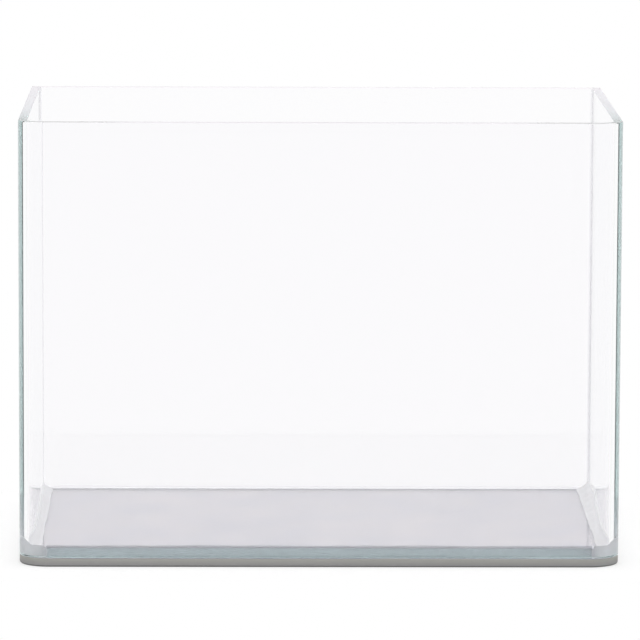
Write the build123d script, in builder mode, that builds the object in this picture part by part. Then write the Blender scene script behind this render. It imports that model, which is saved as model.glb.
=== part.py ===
"""A small rimless glass tank with a hot-bent front.

One bent sheet is the front, both rounded corners and both sides. A flat back pane closes its two
rear ends, a base pane fits inside the walls, and clear silicone seams hold them. All of them stand
on a foam mat.
Millimetres. X runs to the right, the front faces -Y, Z is up. The origin is the middle of the
underside, on the table.
"""

import os

from build123d import *

# Overall sizes
tank_width = 400.0
tank_depth = 250.0
tank_height = 297.0

# Glass
wall_glass = 6.0
back_glass_thickness = 6.0
base_glass_thickness = 6.0
bend_radius = 17.0
arris = 0.5

# Silicone joints and tooled beads
edge_joint = 1.5
back_joint = 1.0
side_bead_out = 8.5
side_bead_up = 6.0
front_bead_out = 2.5
front_bead_up = 2.0
back_bead_out = 1.6
back_bead_up = 1.3
upright_bead = 1.0
bead_hollow = 0.12

# Foam mat
mat_thickness = 6.0
mat_corner_radius = 20.0

# Faces, radii and heights that the pieces share
side_outer = tank_width / 2
side_inner = side_outer - wall_glass
front_outer = -tank_depth / 2
front_inner = front_outer + wall_glass
back_outer = tank_depth / 2
back_inner = back_outer - back_glass_thickness
side_end = back_inner - back_joint
inner_bend_radius = bend_radius - wall_glass
base_corner_radius = inner_bend_radius - edge_joint
glass_low = mat_thickness
glass_height = tank_height - glass_low
floor = glass_low + base_glass_thickness
front_seam_end = side_outer - bend_radius
slim_bead_end = side_inner - side_bead_out + front_bead_out


def u_outline(inset, corner_radius, rear):
    """The open U that lies inset from the bent sheet's outer face, from one rear end to the other."""
    x = side_outer - inset
    y = front_outer + inset
    return FilletPolyline((-x, rear), (-x, y), (x, y), (x, rear), radius=corner_radius)


def u_face(inset, corner_radius, rear):
    """A face with two rounded front corners and a straight rear edge."""
    with BuildSketch(Plane.XY) as shape:
        with BuildLine():
            outline = u_outline(inset, corner_radius, rear)
            Line(outline @ 1, outline @ 0)
        make_face()
    return shape.sketch


def section_plane(x, y, toward_wall):
    """An upright plane through (x, y) whose own X axis points at the wall and whose Y axis is up."""
    return Plane((x, y, 0), x_dir=toward_wall, z_dir=Vector(*toward_wall).cross(Vector(0, 0, 1)))


def bead_section(wall, out, up):
    """A tooled bead's hollow section in the corner where a wall's face, at x = wall, meets the floor.

    It runs on into both panes by an arris, and cutting them away seats it on their ground edges.
    """
    chord_middle = (wall - out / 2, floor + up / 2)
    hollow_point = (chord_middle[0] + bead_hollow * up, chord_middle[1] - bead_hollow * out)
    with BuildSketch(Plane.XY) as shape:
        with BuildLine():
            Polyline(
                (wall, floor + up),
                (wall + arris, floor + up),
                (wall + arris, floor - arris),
                (wall - out, floor - arris),
                (wall - out, floor),
            )
            ThreePointArc((wall - out, floor), hollow_point, (wall, floor + up))
        make_face()
    return shape.sketch


# The bent front sheet
with BuildPart() as bent_front_glass:
    with BuildSketch(Plane.XY.offset(glass_low)):
        with BuildLine():
            outer = u_outline(0, bend_radius, side_end)
            inner = u_outline(wall_glass, inner_bend_radius, side_end)
            Line(outer @ 0, inner @ 0)
            Line(outer @ 1, inner @ 1)
        make_face()
    extrude(amount=glass_height)
    by_height = bent_front_glass.edges().group_by(Axis.Z)
    rear_ends = bent_front_glass.edges().filter_by(Axis.Z).group_by(Axis.Y)[-1]
    chamfer(by_height[0] + by_height[-1] + rear_ends, length=arris)

# The flat back pane, as wide as the tank
with BuildPart() as back_glass:
    with BuildSketch(Plane.XY.offset(glass_low)):
        with Locations((0, back_inner)):
            Rectangle(tank_width, back_glass_thickness, align=(Align.CENTER, Align.MIN))
    extrude(amount=glass_height)
    chamfer(back_glass.edges(), length=arris)

# The base pane, set inside the walls, its front corners ground round
with BuildPart() as base_glass:
    with BuildSketch(Plane.XY.offset(glass_low)):
        add(u_face(wall_glass + edge_joint, base_corner_radius, back_inner - edge_joint))
    extrude(amount=base_glass_thickness)
    by_height = base_glass.edges().group_by(Axis.Z)
    rear_corners = base_glass.edges().filter_by(Axis.Z).group_by(Axis.Y)[-1]
    chamfer(by_height[0] + by_height[-1] + rear_corners, length=arris)

# Silicone along the left side, from the back pane to the front, with a wide bead. It fills the corner too,
# where the front's slim bead goes on round the bend into the wide one. It is trimmed to the middle of the
# wall before the glass is cut away, so that no corner of it comes out past a large bend.
with BuildPart() as left_base_seam:
    with BuildSketch(Plane.XY.offset(glass_low)):
        with Locations((-side_inner, front_inner)):
            Rectangle(edge_joint + arris, back_inner - front_inner, align=(Align.MIN, Align.MIN))
            Rectangle(edge_joint + base_corner_radius, edge_joint + base_corner_radius,
                      align=(Align.MIN, Align.MIN))
    extrude(amount=base_glass_thickness)
    with BuildSketch(section_plane(0, front_inner, (-1, 0, 0))):
        add(bead_section(side_inner, side_bead_out, side_bead_up))
    extrude(amount=back_inner - front_inner)
    with BuildSketch(section_plane(-front_seam_end, 0, (0, -1, 0))):
        add(bead_section(-front_inner, front_bead_out, front_bead_up))
    extrude(amount=slim_bead_end - front_seam_end)
    with BuildSketch(Plane.XY.offset(glass_low)):
        add(u_face(wall_glass / 2, bend_radius - wall_glass / 2, back_inner))
    extrude(amount=glass_height, mode=Mode.INTERSECT)
    add(bent_front_glass.part, mode=Mode.SUBTRACT)
    add(base_glass.part, mode=Mode.SUBTRACT)

# The right side's silicone is the left's mirror image
with BuildPart() as right_base_seam:
    mirror(left_base_seam.part, about=Plane.YZ)

# Silicone along the front, between the bends, with a slim bead that runs into the two wide ones
with BuildPart() as front_base_seam:
    with BuildSketch(Plane.XY.offset(glass_low)):
        with Locations((0, front_inner)):
            Rectangle(2 * front_seam_end, edge_joint + arris, align=(Align.CENTER, Align.MIN))
    extrude(amount=base_glass_thickness)
    with BuildSketch(section_plane(front_seam_end, 0, (0, -1, 0))):
        add(bead_section(-front_inner, front_bead_out, front_bead_up))
    extrude(amount=2 * front_seam_end)
    for neighbour in (bent_front_glass, base_glass, left_base_seam, right_base_seam):
        add(neighbour.part, mode=Mode.SUBTRACT)

# Silicone along the back, between the two side seams, with a slim bead
with BuildPart() as back_base_seam:
    with BuildSketch(Plane.XY.offset(glass_low)):
        with Locations((0, back_inner)):
            Rectangle(2 * side_inner, edge_joint + arris, align=(Align.CENTER, Align.MAX))
    extrude(amount=base_glass_thickness)
    with BuildSketch(section_plane(-side_inner, 0, (0, 1, 0))):
        add(bead_section(back_inner, back_bead_out, back_bead_up))
    extrude(amount=2 * side_inner)
    for neighbour in (back_glass, base_glass, left_base_seam, right_base_seam):
        add(neighbour.part, mode=Mode.SUBTRACT)

# The upright silicone joint between the bent sheet's left end and the back pane, with its inner bead
with BuildPart() as left_back_seam:
    with BuildSketch(Plane.XY.offset(glass_low + arris)):
        with Locations((-side_outer + arris, back_inner)):
            Rectangle(wall_glass - arris, back_joint + arris, align=(Align.MIN, Align.MAX))
    extrude(amount=glass_height - 2 * arris)
    with BuildSketch(Plane.XY.offset(floor)):
        with BuildLine():
            bead_start = (-side_inner, back_inner - upright_bead)
            bead_end = (-side_inner + upright_bead, back_inner)
            hollow = upright_bead * (0.5 - bead_hollow)
            Polyline(
                bead_end,
                (-side_inner + upright_bead, back_inner + arris),
                (-side_inner - arris, back_inner + arris),
                (-side_inner - arris, back_inner - upright_bead),
                bead_start,
            )
            ThreePointArc(bead_start, (-side_inner + hollow, back_inner - hollow), bead_end)
        make_face()
    extrude(amount=tank_height - arris - floor)
    for neighbour in (bent_front_glass, back_glass, base_glass, left_base_seam, back_base_seam):
        add(neighbour.part, mode=Mode.SUBTRACT)

with BuildPart() as right_back_seam:
    mirror(left_back_seam.part, about=Plane.YZ)

# The foam mat, as large as the tank, its front corners cut rounder than the bends
with BuildPart() as levelling_mat:
    with BuildSketch():
        add(u_face(0, mat_corner_radius, back_outer))
    extrude(amount=mat_thickness)

pieces = {
    "bent_front_glass": bent_front_glass,
    "back_glass": back_glass,
    "base_glass": base_glass,
    "front_base_seam": front_base_seam,
    "left_base_seam": left_base_seam,
    "right_base_seam": right_base_seam,
    "back_base_seam": back_base_seam,
    "left_back_seam": left_back_seam,
    "right_back_seam": right_back_seam,
    "levelling_mat": levelling_mat,
}

os.makedirs("parts", exist_ok=True)
for name, piece in pieces.items():
    piece.part.label = name
    export_step(piece.part, f"parts/{name}.step")
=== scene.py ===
"""A small rimless glass tank with a hot-bent front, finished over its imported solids.

Metres. X runs to the right, the front faces -Y, Z is up, and the origin is the middle of the underside.
"""
from math import pi, radians

import bpy
import numpy as np
from mathutils import Matrix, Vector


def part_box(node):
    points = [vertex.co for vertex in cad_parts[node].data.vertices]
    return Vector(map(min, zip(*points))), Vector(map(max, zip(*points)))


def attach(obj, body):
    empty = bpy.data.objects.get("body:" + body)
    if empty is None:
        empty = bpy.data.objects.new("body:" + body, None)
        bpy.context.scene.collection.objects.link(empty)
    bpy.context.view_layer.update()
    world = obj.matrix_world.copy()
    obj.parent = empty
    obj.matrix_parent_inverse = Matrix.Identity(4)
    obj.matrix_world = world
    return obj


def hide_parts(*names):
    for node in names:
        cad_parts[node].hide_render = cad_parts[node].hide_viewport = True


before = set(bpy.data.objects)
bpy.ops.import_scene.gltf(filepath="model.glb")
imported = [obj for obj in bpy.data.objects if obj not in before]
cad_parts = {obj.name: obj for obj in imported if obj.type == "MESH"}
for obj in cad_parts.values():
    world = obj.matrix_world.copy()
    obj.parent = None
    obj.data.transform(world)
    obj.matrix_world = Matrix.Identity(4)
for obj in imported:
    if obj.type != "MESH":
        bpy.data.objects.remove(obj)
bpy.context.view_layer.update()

# The hot-bent front sheet
# One 6 mm sheet of low-iron float glass, heated along two lines and bent there, so that it is the front,
# both rounded corners and both sides. All its edges have a small arris, and its rim is ground to a satin.
MM = 0.001
arris = 0.5 * MM
bend_radius = 17.0 * MM
arc_steps = 48
along_front = np.linspace(0, 0.06, 16)
along_side = np.linspace(0.1, 0.01, 10)
guard = 0.2 * MM
crease = radians(20)

sheet_low, sheet_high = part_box("bent_front_glass")
side_outer = sheet_high.x
front_outer = sheet_low.y
side_end = sheet_high.y
foot, rim = sheet_low.z, sheet_high.z
back_low, back_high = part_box("back_glass")
back_inner = back_low.y
back_outer = back_high.y
wall = back_outer - back_inner
side_inner = side_outer - wall
front_inner = front_outer + wall
bend_axis_x = side_outer - bend_radius
bend_axis_y = front_outer + bend_radius


def skin(name, *shells, worked=None):
    """A mesh of closed shells, each through rings[station, point] with its two ends capped, facing outwards.

    A shell's faces are turned round where its volume, summed from the origin, comes out negative.
    worked gives every strip between two points of each pair of stations, and then the two ends, how far
    they were worked on: glass that was ground, or silicone that was tooled.
    """
    points, faces = np.concatenate([rings.reshape(-1, 3) for rings in shells]), []
    for first, rings in zip(np.cumsum([0] + [r.shape[0] * r.shape[1] for r in shells]), shells):
        grid = first + np.arange(rings.shape[0] * rings.shape[1]).reshape(rings.shape[:2])
        beside = np.roll(grid, -1, axis=1)
        quads = np.stack([grid[:-1], beside[:-1], beside[1:], grid[1:]], axis=-1).reshape(-1, 4)
        a, b, c, d = (points[quads[:, i]] for i in range(4))
        inside_out = np.einsum("ij,ij->i", a, np.cross(b, c) + np.cross(c, d)).sum() < 0
        shell = quads.tolist() + [grid[0][::-1].tolist(), grid[-1].tolist()]
        faces += [face[::-1] for face in shell] if inside_out else shell
    mesh = bpy.data.meshes.new(name)
    mesh.from_pydata(points, [], faces)
    if worked is not None:
        share = mesh.attributes.new("worked", "FLOAT", "FACE")
        share.data.foreach_set("value", worked.astype(np.float32).ravel())
    mesh.shade_smooth()
    mesh.set_sharp_from_angle(angle=crease)
    return mesh


def piece(name, mesh, material, slot, *nodes):
    """The finished piece: it stands for the CAD nodes and rides on the one body."""
    mesh.materials.append(material)
    made = bpy.data.objects.new(name, mesh)
    bpy.context.scene.collection.objects.link(made)
    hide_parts(*nodes)
    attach(made, "root")
    return made


def bend_path(radius, rear, steps):
    """The open U at that radius from the bend axes, left rear to right rear: points and inward normals.

    Each bend is a quarter circle about its upright axis. A guard station just outside each bend keeps
    the flat stretches flat when the bends are shaded smooth.
    """
    turn = np.linspace(0, pi / 2, steps + 1)
    arc = np.stack([-np.cos(turn), -np.sin(turn)], axis=-1)
    left = np.array([-bend_axis_x, bend_axis_y]) + radius * arc
    inward = -arc
    straight = np.array([[-bend_axis_x - radius, y] for y in (*rear, bend_axis_y + guard)])
    front = np.array([[-bend_axis_x + guard + reach, bend_axis_y - radius] for reach in along_front])
    half = np.concatenate([straight, left, front])
    half_inward = np.concatenate([np.tile([1.0, 0.0], (len(straight), 1)), inward,
                                  np.tile([0.0, 1.0], (len(front), 1))])
    flip = np.array([-1.0, 1.0])
    return np.concatenate([half, half[::-1] * flip]), np.concatenate([half_inward, half_inward[::-1] * flip])


def pane_rings(points, inward, insets, low, high):
    """A pane's section, wall thick, carried along a path of points on its outer face.

    The section is a rectangle with its four corners cut at 45 degrees. Where inset is above nought, all
    four sides draw in by that much, which cuts the arrises of the pane's ends.
    """
    i = insets[:, None]
    deep = np.concatenate([i, i, 0 * i + arris, 0 * i + wall - arris] * 2, axis=1)
    deep[:, 4:] = wall - deep[:, :4]
    up = [low + arris + 0 * i, high - arris + 0 * i, high - i, high - i]
    up += [high - arris + 0 * i, low + arris + 0 * i, low + i, low + i]
    up = np.concatenate(up, axis=1)
    across = points[:, None, :] + inward[:, None, :] * deep[:, :, None]
    return np.concatenate([across, up[:, :, None]], axis=-1)


def pane_ground(along, ends):
    """How far each strip of a pane is ground.

    The rim and its two arrises go by along, one figure for each pair of stations, and both ends by ends.
    The two polished faces and the foot, which was only dressed, are nought.
    """
    outer_face, inner_face, foot_strips = 0, 4, (5, 6, 7)
    strips = np.tile(np.array(along, float)[:, None], (1, 8))
    strips[1:-1, [outer_face, inner_face, *foot_strips]] = 0
    strips[[0, -1]] = ends
    return np.append(strips, [ends, ends])


def linear(code):
    """An sRGB hex colour as linear red, green, blue and one."""
    channels = np.array([int(code[i:i + 2], 16) for i in (1, 3, 5)]) / 255
    curve = np.where(channels <= 0.04045, channels / 12.92, ((channels + 0.055) / 1.055) ** 2.4)
    return (*curve.tolist(), 1.0)


def add(tree, kind, inputs=None, **settings):
    """A new node of that kind with its settings, and each input set to a value or linked to a socket."""
    made = tree.nodes.new("ShaderNode" + kind)
    for name, value in settings.items():
        setattr(made, name, value)
    for name, value in (inputs or {}).items():
        if isinstance(value, bpy.types.NodeSocket):
            tree.links.new(value, made.inputs[name])
        else:
            made.inputs[name].default_value = value
    return made


def start_material(name):
    """An empty material and its node tree."""
    material = bpy.data.materials.new(name)
    material.use_nodes = True
    material.node_tree.nodes.clear()
    return material, material.node_tree


def float_glass(name, tint, density):
    """Float glass: polished faces, edges ground to a satin, and a tint that shows where light goes far."""
    satin_roughness, satin_clearness = 0.6, 0.4
    material, tree = start_material(name)
    ground = add(tree, "Attribute", attribute_name="worked")
    rough = add(tree, "MapRange", {"Value": ground.outputs["Fac"], "To Min": 0.0, "To Max": satin_roughness})
    clear = add(tree, "MapRange", {"Value": ground.outputs["Fac"], "To Min": 1.0, "To Max": satin_clearness})
    colour = add(tree, "ValToRGB", {"Fac": ground.outputs["Fac"]})
    colour.color_ramp.elements[0].color = linear("#FEFDFE")
    colour.color_ramp.elements[1].color = linear("#F5F1F5")
    surface = add(tree, "BsdfPrincipled", {
        "Base Color": colour.outputs["Color"],
        "Roughness": rough.outputs["Result"],
        "IOR": 1.52,
        "Transmission Weight": clear.outputs["Result"],
    })
    inside = add(tree, "VolumeAbsorption", {"Color": tint, "Density": density})
    add(tree, "OutputMaterial", {"Surface": surface.outputs[0], "Volume": inside.outputs[0]})
    return material


low_iron = float_glass("low_iron_float_glass", (0.15, 0.62, 0.55, 1.0), 2.0)

# The wheel bit lightly in the bends and harder on the straights: distance from a bend, and how far ground.
side_wheel = ([0, 0.01, 0.06, 0.1], [0.3, 0.6, 0.95, 1.0])
front_wheel = ([0, 0.025, 0.06], [0.1, 0.15, 0.9])

# The ends are drawn in by a little less than an arris, so that no two points of a section meet.
end_inset = 0.96 * arris
rear_stations = (side_end, side_end - arris, *(bend_axis_y + along_side))
outer_path, outer_inward = bend_path(bend_radius, rear_stations, arc_steps)
sheet_insets = np.zeros(len(outer_path))
sheet_insets[[0, -1]] = end_inset
sheet_rings = pane_rings(outer_path, outer_inward, sheet_insets, foot, rim)
middles = (outer_path[:-1] + outer_path[1:]) / 2
behind_bend = middles[:, 1] - bend_axis_y
beside_bend = bend_axis_x - np.abs(middles[:, 0])
wheel = np.where(behind_bend > 0, np.interp(behind_bend, *side_wheel), np.interp(beside_bend, *front_wheel))
sheet_mesh = skin("bent_front_glass_sheet", sheet_rings, worked=pane_ground(wheel, 0))
piece("bent_sheet", sheet_mesh, low_iron, "float_glass", "bent_front_glass")

# The back pane
# A flat 6 mm pane of the same glass, as wide as the tank, bonded across the bent sheet's rear ends.
back_x = np.array([back_low.x, back_low.x + arris, back_high.x - arris, back_high.x])
back_points = np.stack([back_x, 0 * back_x + back_outer], axis=-1)
back_inward = np.tile([0.0, -1.0], (4, 1))
back_insets = np.array([end_inset, 0, 0, end_inset])
back_rings = pane_rings(back_points, back_inward, back_insets, foot, rim)
back_mesh = skin("back_pane", back_rings, worked=pane_ground([1, 1, 1], 1))
piece("back_pane", back_mesh, low_iron, "float_glass", "back_glass")

# The base pane
# A flat 6 mm pane inside the walls, its two front corners ground round to follow the bends. It is plain
# float glass, greener along its length than the walls.
base_low, base_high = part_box("base_glass")
base_corner_radius = 9.5 * MM
base_edge_ground = 0.25


def base_outline(inset, half_width, front, rear, radius, cut):
    """A closed outline with two round front corners and two cut rear ones, drawn in by inset."""
    turn = np.linspace(0, pi / 2, arc_steps + 1)
    centre = np.array([-half_width + radius, front + radius])
    arc = centre + (radius - inset) * np.stack([-np.cos(turn), -np.sin(turn)], axis=-1)
    left = [[-half_width + cut, rear - inset], [-half_width + inset, rear - cut]]
    left = np.concatenate([left, [arc[0] + [0, guard]], arc, [arc[-1] + [guard, 0]]])
    return np.concatenate([left, left[::-1] * [-1, 1]])


def slab_rings(levels, insets, *outline):
    """Outlines stacked at those levels, each drawn in by its inset."""
    flat = np.stack([base_outline(i, *outline) for i in insets])
    up = np.broadcast_to(np.array(levels)[:, None, None], (*flat.shape[:2], 1))
    return np.concatenate([flat, up], axis=-1)


base_rings = slab_rings(
    (base_low.z, base_low.z + arris, base_high.z - arris, base_high.z), (arris, 0, 0, arris),
    base_high.x, base_low.y, base_high.y, base_corner_radius, arris,
)
edge_strips = base_rings.shape[1] * (len(base_rings) - 1)
base_mesh = skin("base_pane", base_rings, worked=np.append(np.full(edge_strips, base_edge_ground), [0, 0]))
plain_float = float_glass("plain_float_glass", (0.11, 0.36, 0.36, 1.0), 5.0)
piece("base_pane", base_mesh, plain_float, "float_glass", "base_glass")
floor_level = base_high.z

# The silicone seams
# Clear neutral-cure silicone fills each joint and is tooled to a hollow bead along the inside. The side
# beads are wide, laid with a finger, and run straight into the front glass. The others are slim, and the
# front's goes on round both bends.

# The seams reach a lap into the glass. Where two faces would share a plane, one goes part of a lap further.
lap = 0.05 * MM

# Each bead is given as how far out and how far up it reaches.
side_bead = (8.5 * MM, 6.0 * MM)
front_bead = (2.5 * MM, 2.0 * MM)
back_bead = (1.6 * MM, 1.3 * MM)
bead_hollow = 0.12
wide_steps, slim_steps = 16, 12
wave_sizes = (0.025, 0.02, 0.012)
wave_lengths = (0.021, 0.0083, 0.0031)
seam_levels = (floor_level - lap, floor_level - lap, floor_level - arris, base_low.z, base_low.z)


def clear_silicone():
    """Cured silicone: clear where it is thin and bonded, with a smooth, milky skin where it was tooled."""
    material, tree = start_material("clear_silicone_sealant")
    tooled = add(tree, "Attribute", attribute_name="worked")
    clear = add(tree, "MapRange", {"Value": tooled.outputs["Fac"], "To Min": 1.0, "To Max": 0.5})
    surface = add(tree, "BsdfPrincipled", {
        "Base Color": linear("#FAFAFC"),
        "Roughness": 0.08,
        "IOR": 1.41,
        "Transmission Weight": clear.outputs["Result"],
    })
    add(tree, "OutputMaterial", {"Surface": surface.outputs[0]})
    return material


silicone = clear_silicone()


def bead_arc(share, out, up):
    """The bead's hollow face from the wall, where share is 0, to its toe, where share is 1.

    It is the chord from up above the floor to out along it, sagging square to itself by four times the
    hollow times share times one less share.
    """
    sag = 4 * bead_hollow * share * (1 - share)
    return out * share - up * sag, up * (1 - share) - out * sag


def tooled_skin(*shells, bonded=0.0):
    """One for the strips of each shell's hollow face, the first ones of each ring, and bonded for the rest.

    Each shell is given as its rings and the number of strips in its hollow face. bonded is one figure, or
    one for each pair of stations.
    """
    shares = []
    for rings, hollow in shells:
        stations, points = rings.shape[:2]
        strips = np.full((stations - 1, points), np.reshape(bonded, (-1, 1)))
        strips[:, :hollow] = 1
        shares += [strips.ravel(), np.ravel(bonded)[[0, -1]]]
    return np.concatenate(shares)


def unevenness(along, seed):
    """How the finger's pressure makes a bead a little wider and narrower: three slow waves."""
    waves = np.random.default_rng(seed).uniform(0, 2 * pi, 3)
    return sum(size * np.sin(along / length + phase)
               for size, length, phase in zip(wave_sizes, wave_lengths, waves))


# Left and right sides. These seams are thick, so they are milky where they are bonded too. Round the bend
# they fade toward the front seam, which is clear there.
straight_stations, bend_stations = 81, 25
fade_from, least_milky = 4.0 * MM, 0.6
edge_joint = base_low.y - front_inner
inner_radius = bend_radius - wall
quarter = np.sin(np.linspace(0, pi / 2, bend_stations))
base_end = base_low.y + lap
side_y = np.unique(np.concatenate([
    np.linspace(bend_axis_y + guard, back_inner + lap, straight_stations),
    bend_axis_y - (inner_radius + lap) * quarter,
    bend_axis_y - (bend_axis_y - base_end) * quarter,
    [base_end - guard, front_inner - 1.6 * lap, back_inner + 1.6 * lap],
]))[::-1]
into_bend = np.clip(bend_axis_y - side_y, 0, inner_radius + lap)
wall_at = inner_radius - np.sqrt((inner_radius + lap) ** 2 - into_bend ** 2)
into_corner = np.clip(base_low.y + base_corner_radius - side_y, 0, base_corner_radius - lap)
joint_at = edge_joint + base_corner_radius - np.sqrt((base_corner_radius - lap) ** 2 - into_corner ** 2)
joint_at += np.clip(base_end - side_y, 0, None)
bead_shares = np.linspace(0, 1, 101)
wide_profile, slim_profile = bead_arc(bead_shares, *side_bead), bead_arc(bead_shares, *front_bead)
slim_radius = inner_radius - front_bead[0]
slim_toe = inner_radius - np.sqrt(np.clip(slim_radius ** 2 - into_bend ** 2, 0, None))


def side_rings(sign, seed):
    """The side seam's section at each station along Y, from the back pane to the front glass.

    The bead's face starts at the wall's inner face, which the bend brings in from the side. There it is as
    high as the higher of two beads: the wide one, and the front's slim one that follows the bend. The joint
    below widens round the base pane's corner.
    """
    swell = 1 + unevenness(side_y, seed)[:, None]
    toe_at = np.maximum(np.maximum(side_bead[0] * swell[:, 0], slim_toe), wall_at + lap)
    deep = wall_at[:, None] + (toe_at - wall_at)[:, None] * np.linspace(0, 1, wide_steps + 1)
    from_wall = inner_radius - np.hypot(inner_radius - deep, into_bend[:, None])
    from_wall = np.where(deep < inner_radius, from_wall, inner_radius - into_bend[:, None])
    high = swell * np.interp(deep / swell, *wide_profile)
    high = np.where(into_bend[:, None] > 0, np.maximum(high, np.interp(from_wall, *slim_profile)), high)
    toe, joint = deep[:, -1], joint_at
    deep = np.column_stack([deep, toe, np.maximum(joint + arris, toe), joint, joint, wall_at])
    below = np.broadcast_to(seam_levels, (len(side_y), len(seam_levels)))
    high = np.column_stack([floor_level + high, below])
    across = sign * (side_inner - deep)
    return np.stack([across, np.broadcast_to(side_y[:, None], across.shape), high], axis=-1)


round_bend = (wall_at[:-1] + wall_at[1:]) / 2
side_bonded = np.interp(round_bend, [fade_from, inner_radius], [1.0, least_milky])
for side, sign, seed in (("left", -1, 3), ("right", 1, 8)):
    rings = side_rings(sign, seed)
    side_mesh = skin(side + "_seam", rings, worked=tooled_skin((rings, wide_steps), bonded=side_bonded))
    piece(side + "_seam", side_mesh, silicone, "clear_silicone", side + "_base_seam")


# Front and back. The back's bead goes an overlap past the side beads' toes and sinks into them. The front's
# ends where the side seams' own slim bead takes over. Past its end a bead has past_end of its size.
overlap = 2.0 * MM
sink_length = 4.0 * MM
sunk_by = 0.65
past_end = 0.1
slim_stations = 161


def slim_rings(face, inward, size, strip_end, mitre, seed):
    """A slim seam's section at each station along X, between the side seams.

    With mitre at nought its bead sinks into the side beads, and the joint strip runs on. With mitre at one
    the strip's two ends are cut at 45 degrees, as the side seams' ends are at the front.
    """
    bead_end = min(side_inner - side_bead[0] + overlap, strip_end - 2 * guard)
    x = np.concatenate([np.linspace(-bead_end, bead_end, slim_stations), [bead_end + guard, strip_end]])
    x = np.concatenate([[-strip_end, -bead_end - guard], x])
    sink = (1 - mitre) * np.clip((np.abs(x) - bead_end + sink_length) / sink_length, 0, 1)
    swell = (1 + 2 * unevenness(x, seed)) * (1 - sunk_by * sink ** 2)
    swell = np.where(np.abs(x) > bead_end, past_end, swell)[:, None]
    deep, high = bead_arc(np.linspace(0, 1, slim_steps + 1), size[0] * swell, size[1] * swell)
    deep[:, 0] = -lap
    below = [edge_joint + arris + lap, edge_joint + lap, edge_joint + lap, -lap]
    deep = np.column_stack([deep, deep[:, -1], np.broadcast_to(below, (len(x), 4))])
    under = np.broadcast_to(seam_levels, (len(x), len(seam_levels)))
    high = np.column_stack([floor_level + high, under])
    across = x[:, None] * (1 + mitre * (np.clip(deep, 0, edge_joint) - edge_joint) / strip_end)
    return np.stack([across, face + inward * deep, high], axis=-1)


front_end = side_inner - edge_joint - base_corner_radius + lap
back_end = side_inner - edge_joint + lap
for name, run in (
    ("front", (front_inner, 1, front_bead, front_end + 2 * guard, 1, 5)),
    ("back", (back_inner, -1, back_bead, back_end, 0, 6)),
):
    rings = slim_rings(*run)
    slim_mesh = skin(name + "_seam", rings, worked=tooled_skin((rings, slim_steps)))
    piece(name + "_seam", slim_mesh, silicone, "clear_silicone", name + "_base_seam")

# Uprights
upright_bead = 1.0 * MM
levels_up = np.linspace(0, 1, 61)


def upright_rings(sign, seed):
    """The upright seam's bead, from the side bead to the rim, and its joint strip, from foot to rim."""
    swell = 1 + 1.5 * unevenness(floor_level + levels_up * (rim - floor_level), seed)[:, None]
    reach = upright_bead * swell
    inward, forward = bead_arc(np.linspace(0, 1, slim_steps + 1), reach, reach)
    in_glass = np.full(len(levels_up), -lap)
    inward = np.column_stack([inward, inward[:, -1], in_glass])
    forward = np.column_stack([forward, in_glass, in_glass])
    inward[:, 0] = -lap
    low = floor_level - lap + np.interp(inward[0], *wide_profile)
    z = low + levels_up[:, None] * (rim - arris - low)
    bead = np.stack([sign * (side_inner - inward), back_inner - forward, z], axis=-1)
    strip_x = np.array([-lap, arris - 0.4 * lap, wall - arris, wall - arris, -lap])
    strip_y = [side_end - arris - 2.4 * lap, side_end - lap, side_end - lap]
    strip_y += [back_inner + lap, back_inner + lap]
    strip_z = foot + arris + levels_up[:, None] * (rim - foot - 2 * arris)
    strip = np.stack(np.broadcast_arrays(sign * (side_inner + strip_x), strip_y, strip_z), axis=-1)
    return bead, strip


for side, sign, seed in (("left", -1, 11), ("right", 1, 12)):
    bead, strip = upright_rings(sign, seed)
    upright_mesh = skin(side + "_upright", bead, strip, worked=tooled_skin((bead, slim_steps), (strip, 0)))
    piece(side + "_upright", upright_mesh, silicone, "clear_silicone", side + "_back_seam")

# The foam mat
# A 6 mm sheet of grey closed-cell foam, as large as the tank, that the panes' feet and the base pane stand
# on. It was cut with a die whose front corners are rounder than the bends, and its lower edge is pressed in.
mat_low, mat_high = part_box("levelling_mat")
mat_corner_radius = 20.0 * MM
mat_thickness = 6.0 * MM
mat_top_skin = 5.7 * MM


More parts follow.
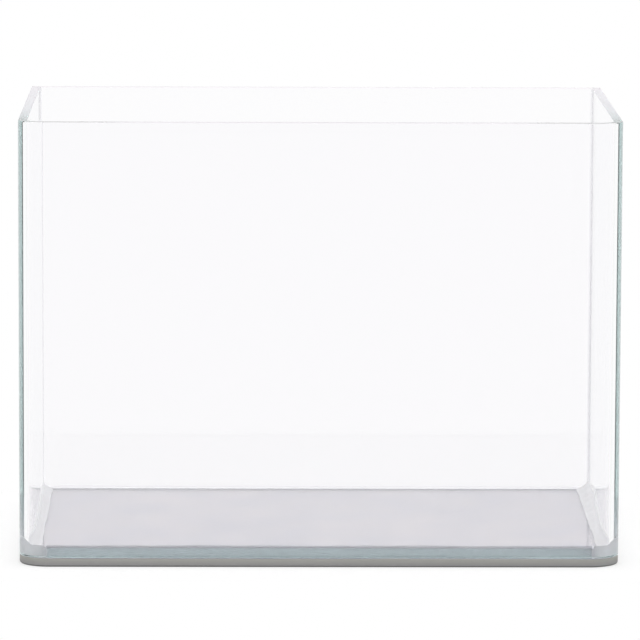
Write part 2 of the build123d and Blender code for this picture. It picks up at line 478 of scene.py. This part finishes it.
def closed_cell_foam():
    """Grey EVA foam: matt, mottled in clouds, pitted where the knife and the skin opened its cells, and its
    cut side painted darker toward the foot as shade from the table.
    """
    material, tree = start_material("grey_closed_cell_foam")
    place = add(tree, "TexCoord").outputs["Object"]
    clouds = add(tree, "TexNoise", {"Vector": place, "Scale": 22.0, "Detail": 6.0, "Roughness": 0.6})
    tone = add(tree, "ValToRGB", {"Fac": clouds.outputs["Fac"]})
    tone.color_ramp.elements[0].position = 0.36
    tone.color_ramp.elements[0].color = linear("#9D9AAB")
    tone.color_ramp.elements[1].position = 0.64
    tone.color_ramp.elements[1].color = linear("#B6AEB6")
    # Painted shade: the cut side's colour goes from #A09F9A near the top down to #5E5E5C at the foot, for the
    # shade where the mat meets the table.
    height = add(tree, "SeparateXYZ", {"Vector": place}).outputs["Z"]
    painted_shade_rise = add(tree, "MapRange", {"Value": height, "From Min": 0.0, "From Max": mat_thickness})
    cut = add(tree, "ValToRGB", {"Fac": painted_shade_rise.outputs["Result"]})
    cut.color_ramp.elements[0].position = 0.08
    cut.color_ramp.elements[0].color = linear("#5E5E5C")
    cut.color_ramp.elements[1].position = 0.9
    cut.color_ramp.elements[1].color = linear("#A09F9A")
    cut.color_ramp.elements.new(0.22).color = linear("#8E8E8E")
    on_top = add(tree, "Math", {0: height, 1: mat_top_skin}, operation="GREATER_THAN")
    colour = add(tree, "Mix", {0: on_top.outputs[0], 6: cut.outputs["Color"], 7: tone.outputs["Color"]},
                 data_type="RGBA").outputs[2]
    cells = add(tree, "TexVoronoi", {"Vector": place, "Scale": 1400.0})
    bump = add(tree, "Bump", {"Height": cells.outputs["Distance"], "Strength": 0.3, "Distance": 0.3 * MM})
    surface = add(tree, "BsdfPrincipled", {
        "Base Color": colour,
        "Roughness": 0.9,
        "IOR": 1.45,
        "Normal": bump.outputs["Normal"],
    })
    add(tree, "OutputMaterial", {"Surface": surface.outputs[0]})
    return material


mat_levels = mat_low.z + np.array([0, 0.15, 0.4, 0.9, 1.4, 5.65, 5.95]) * MM
mat_insets = np.array([1.4, 0.75, 0.4, 0.1, 0, 0, 0.3]) * MM
mat_rings = slab_rings(mat_levels, mat_insets, mat_high.x, mat_low.y, mat_high.y, mat_corner_radius, 1.5 * MM)
mat = piece("foam_mat", skin("foam_mat", mat_rings), closed_cell_foam(), "grey_foam", "levelling_mat")

# The table, the light and the camera
table_reach = 12.0
shadow_reach = 0.05
near_white = 0.6
bounces = 40
table_mesh = bpy.data.meshes.new("table")
table_mesh.from_pydata([(-table_reach, -table_reach, 0), (table_reach, -table_reach, 0),
                        (table_reach, table_reach, 0), (-table_reach, table_reach, 0)], [], [(0, 1, 2, 3)])
table = bpy.data.objects.new("table", table_mesh)
bpy.context.scene.collection.objects.link(table)


def seen_directly(tree):
    """One for rays from the camera, a mirror or through glass, and nought for rays that light the scene."""
    path = add(tree, "LightPath")
    both = add(tree, "Math", {0: path.outputs["Is Camera Ray"], 1: path.outputs["Is Glossy Ray"]},
               operation="MAXIMUM")
    return add(tree, "Math", {0: both.outputs[0], 1: path.outputs["Is Transmission Ray"]},
               operation="MAXIMUM").outputs[0]


# Near the tank the table is partly a lit surface, which holds its shadow. From shadow_reach on it is seen
# as pure white.
table_material, tree = start_material("white_table")
place = add(tree, "TexCoord").outputs["Object"]
spread = add(tree, "VectorMath", {0: place}, operation="ABSOLUTE").outputs[0]
spread = add(tree, "VectorMath", {0: spread, 1: (side_outer, back_outer, 0)}, operation="SUBTRACT").outputs[0]
spread = add(tree, "VectorMath", {0: spread, 1: (0, 0, 0)}, operation="MAXIMUM").outputs[0]
spread = add(tree, "VectorMath", {0: spread}, operation="LENGTH").outputs["Value"]
fade = {"Value": spread, "From Min": 0.0, "From Max": shadow_reach, "To Min": near_white}
far = add(tree, "MapRange", fade, interpolation_type="SMOOTHSTEP")
white = add(tree, "Math", {0: far.outputs["Result"], 1: seen_directly(tree)}, operation="MULTIPLY").outputs[0]
diffuse = add(tree, "BsdfDiffuse", {"Color": (0.95, 0.95, 0.95, 1)})
glow = add(tree, "Emission", {"Color": (1, 1, 1, 1), "Strength": 1.0})
choice = add(tree, "MixShader", {0: white, 1: diffuse.outputs[0], 2: glow.outputs[0]})
add(tree, "OutputMaterial", {"Surface": choice.outputs[0]})
table_mesh.materials.append(table_material)

world = bpy.data.worlds.new("studio")
bpy.context.scene.world = world
world.use_nodes = True
world.node_tree.nodes.clear()
sky = add(world.node_tree, "Background", {"Color": (1, 1, 1, 1), "Strength": 1.0})
add(world.node_tree, "OutputWorld", {"Surface": sky.outputs[0]})

softbox = bpy.data.lights.new("softbox", "AREA")
softbox.shape = "RECTANGLE"
softbox.size, softbox.size_y = 1.6, 1.2
softbox.energy = 3.0
softbox_object = bpy.data.objects.new("softbox", softbox)
softbox_object.location = (0, 0, 1.5)
bpy.context.scene.collection.objects.link(softbox_object)

camera_place = (-0.04897, -3.66114, 0.65871)
camera_pitch, camera_yaw, camera_roll = 0.13838, 0.013786, 0.00388
camera = bpy.data.cameras.new("camera")
camera.sensor_width = 36.0
camera.lens = 303.84
camera.clip_start, camera.clip_end = 0.05, 60.0
camera_object = bpy.data.objects.new("camera", camera)
camera_object.location = camera_place
turn_to = Matrix.Rotation(-camera_yaw, 3, "Z") @ Matrix.Rotation(pi / 2 - camera_pitch, 3, "X")
camera_object.rotation_euler = (turn_to @ Matrix.Rotation(camera_roll, 3, "Z")).to_euler()
bpy.context.scene.collection.objects.link(camera_object)

scene = bpy.context.scene
scene.camera = camera_object
scene.view_settings.view_transform = "Standard"
scene.cycles.max_bounces = bounces
scene.cycles.transmission_bounces = bounces
scene.cycles.glossy_bounces = bounces
scene.cycles.diffuse_bounces = bounces
scene.cycles.blur_glossy = 0.0
